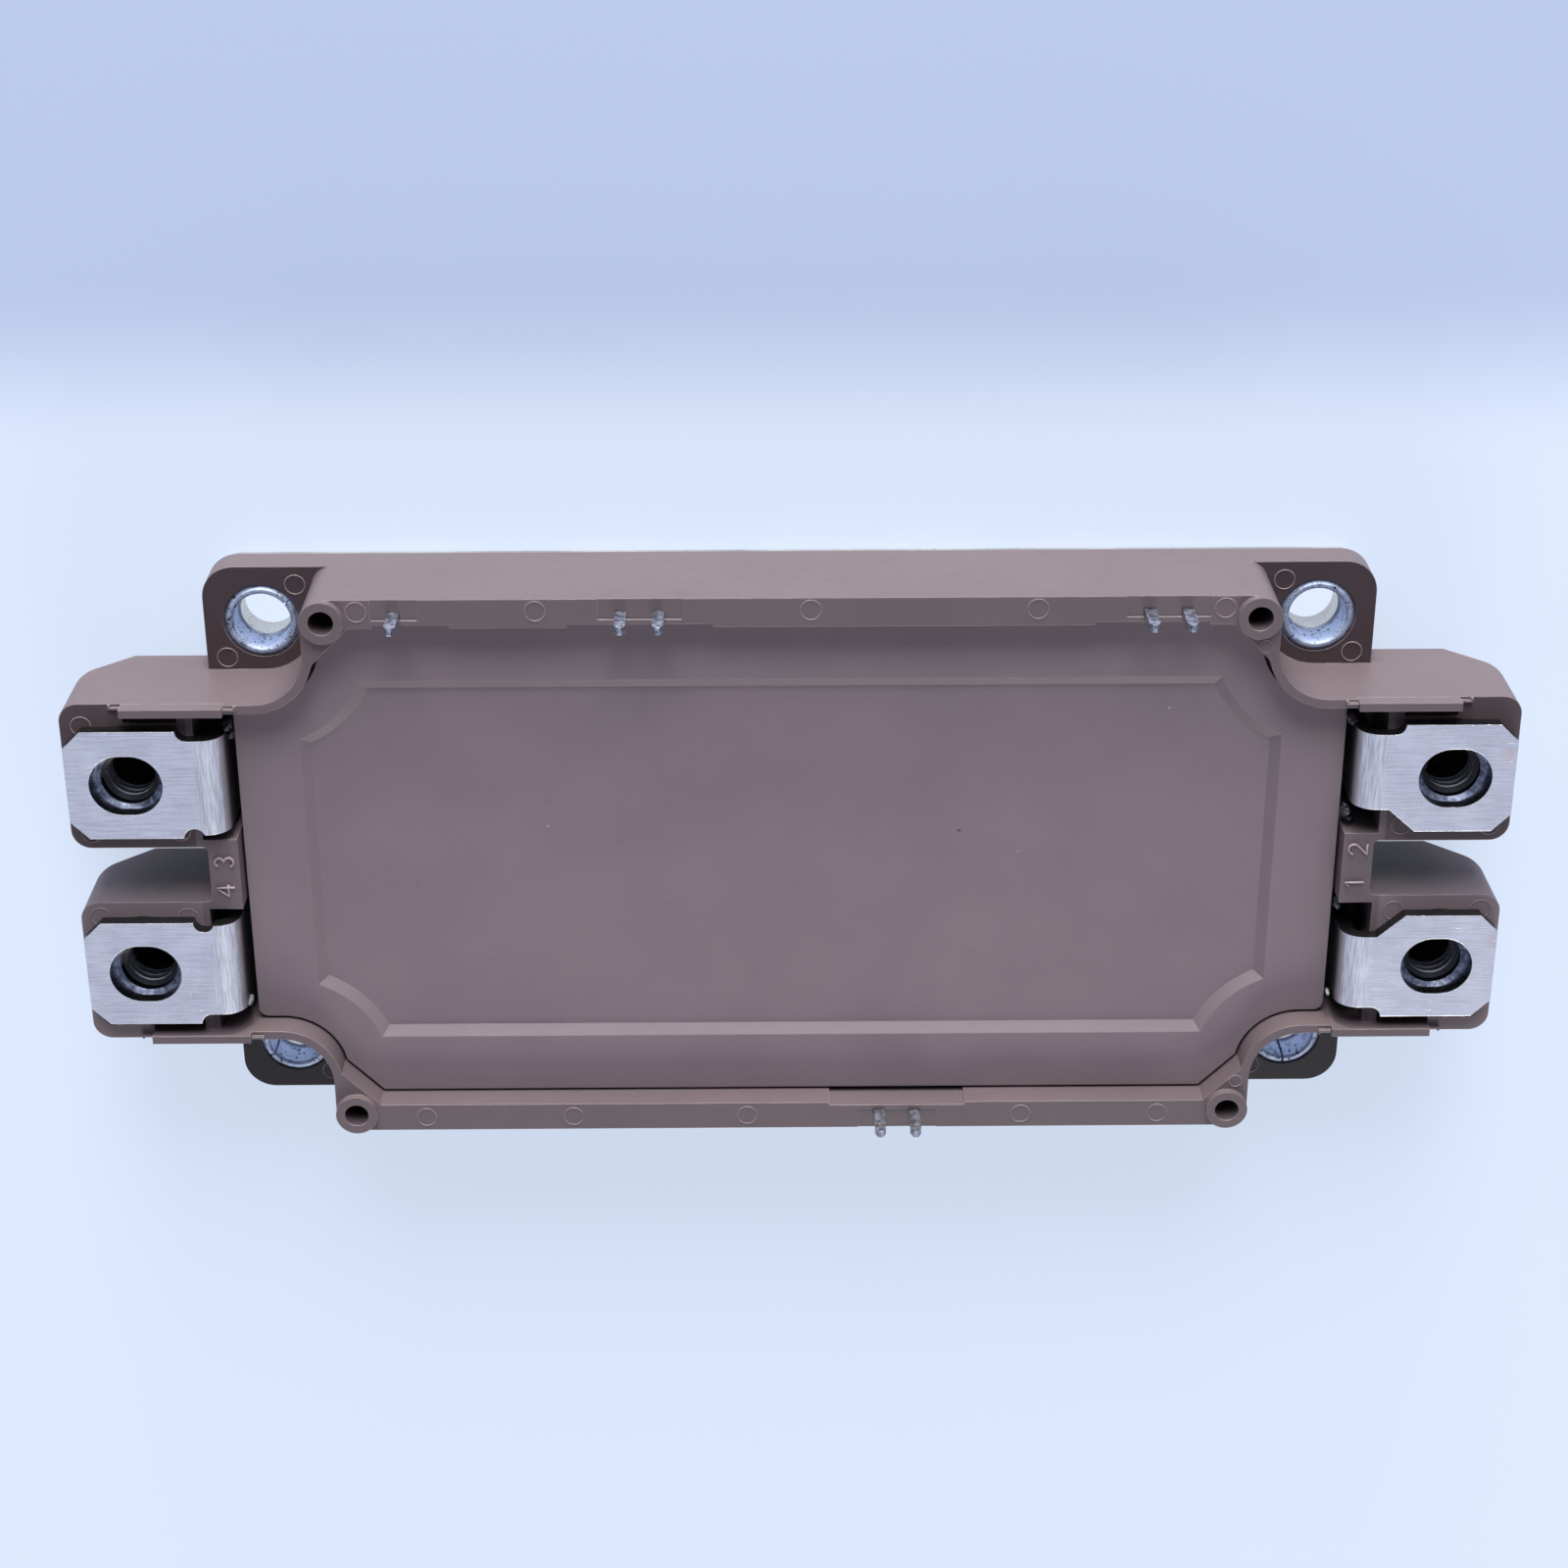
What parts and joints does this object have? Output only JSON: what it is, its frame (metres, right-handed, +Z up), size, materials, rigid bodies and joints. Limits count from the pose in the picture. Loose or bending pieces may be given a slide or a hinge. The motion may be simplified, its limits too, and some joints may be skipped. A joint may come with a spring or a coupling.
{
  "type": "igbt module",
  "caption": "Flat half-bridge power transistor module: moulded case on a copper base plate, screw terminals on arms at both ends, solder pins along both long sides.",
  "frame": {"origin": "centre of the bounding box's bottom face, which is the middle of the base plate's mounting face", "axes": "+X along the long side towards terminals 1 and 2, +Z up out of the mounting face towards the lid, +Y towards the long side with five pins"},
  "size_m": [0.15, 0.062, 0.0205],
  "materials": {
    "moulded_plastic": "fine satin moulding, taupe brown",
    "plated_copper": "nickel-plated copper, satin",
    "adhesive": "cured silicone adhesive",
    "nickel_strip": "nickel-plated copper strip, brushed along its length",
    "nut_steel": "zinc-plated steel",
    "bush_steel": "rolled bright-plated steel",
    "pin_tin": "tin-plated copper",
    "solder": "soft solder",
    "copper": "bare copper",
    "alumina": "matte white ceramic",
    "silicon": "dark passivated silicon",
    "bond_wire": "drawn aluminium wire",
    "gel": "clear soft silicone gel"
  },
  "bodies": {
    "root": {"case_frame": "moulded_plastic", "lid": "moulded_plastic", "base_plate": "plated_copper", "frame_adhesive": "adhesive", "terminal_1": "nickel_strip", "terminal_2": "nickel_strip", "terminal_3": "nickel_strip", "terminal_4": "nickel_strip", "terminal_nut_1": "nut_steel", "terminal_nut_2": "nut_steel", "terminal_nut_3": "nut_steel", "terminal_nut_4": "nut_steel", "mounting_bush_1": "bush_steel", "mounting_bush_2": "bush_steel", "mounting_bush_3": "bush_steel", "mounting_bush_4": "bush_steel", "signal_pin_1": "pin_tin", "signal_pin_2": "pin_tin", "signal_pin_3": "pin_tin", "signal_pin_4": "pin_tin", "signal_pin_5": "pin_tin", "signal_pin_6": "pin_tin", "signal_pin_7": "pin_tin", "tile_solder_1": "solder", "tile_solder_2": "solder", "tile_solder_3": "solder", "back_copper_1": "copper", "back_copper_2": "copper", "back_copper_3": "copper", "circuit_copper_1": "copper", "circuit_copper_2": "copper", "circuit_copper_3": "copper", "ceramic_tile_1": "alumina", "ceramic_tile_2": "alumina", "ceramic_tile_3": "alumina", "igbt_chips_1": "silicon", "igbt_chips_2": "silicon", "igbt_chips_3": "silicon", "diode_chips_1": "silicon", "diode_chips_2": "silicon", "diode_chips_3": "silicon", "ntc_thermistor": "silicon", "bond_wires_1": "bond_wire", "bond_wires_2": "bond_wire", "bond_wires_3": "bond_wire", "signal_wires": "bond_wire", "silicone_gel": "gel"}
  },
  "joints": []
}
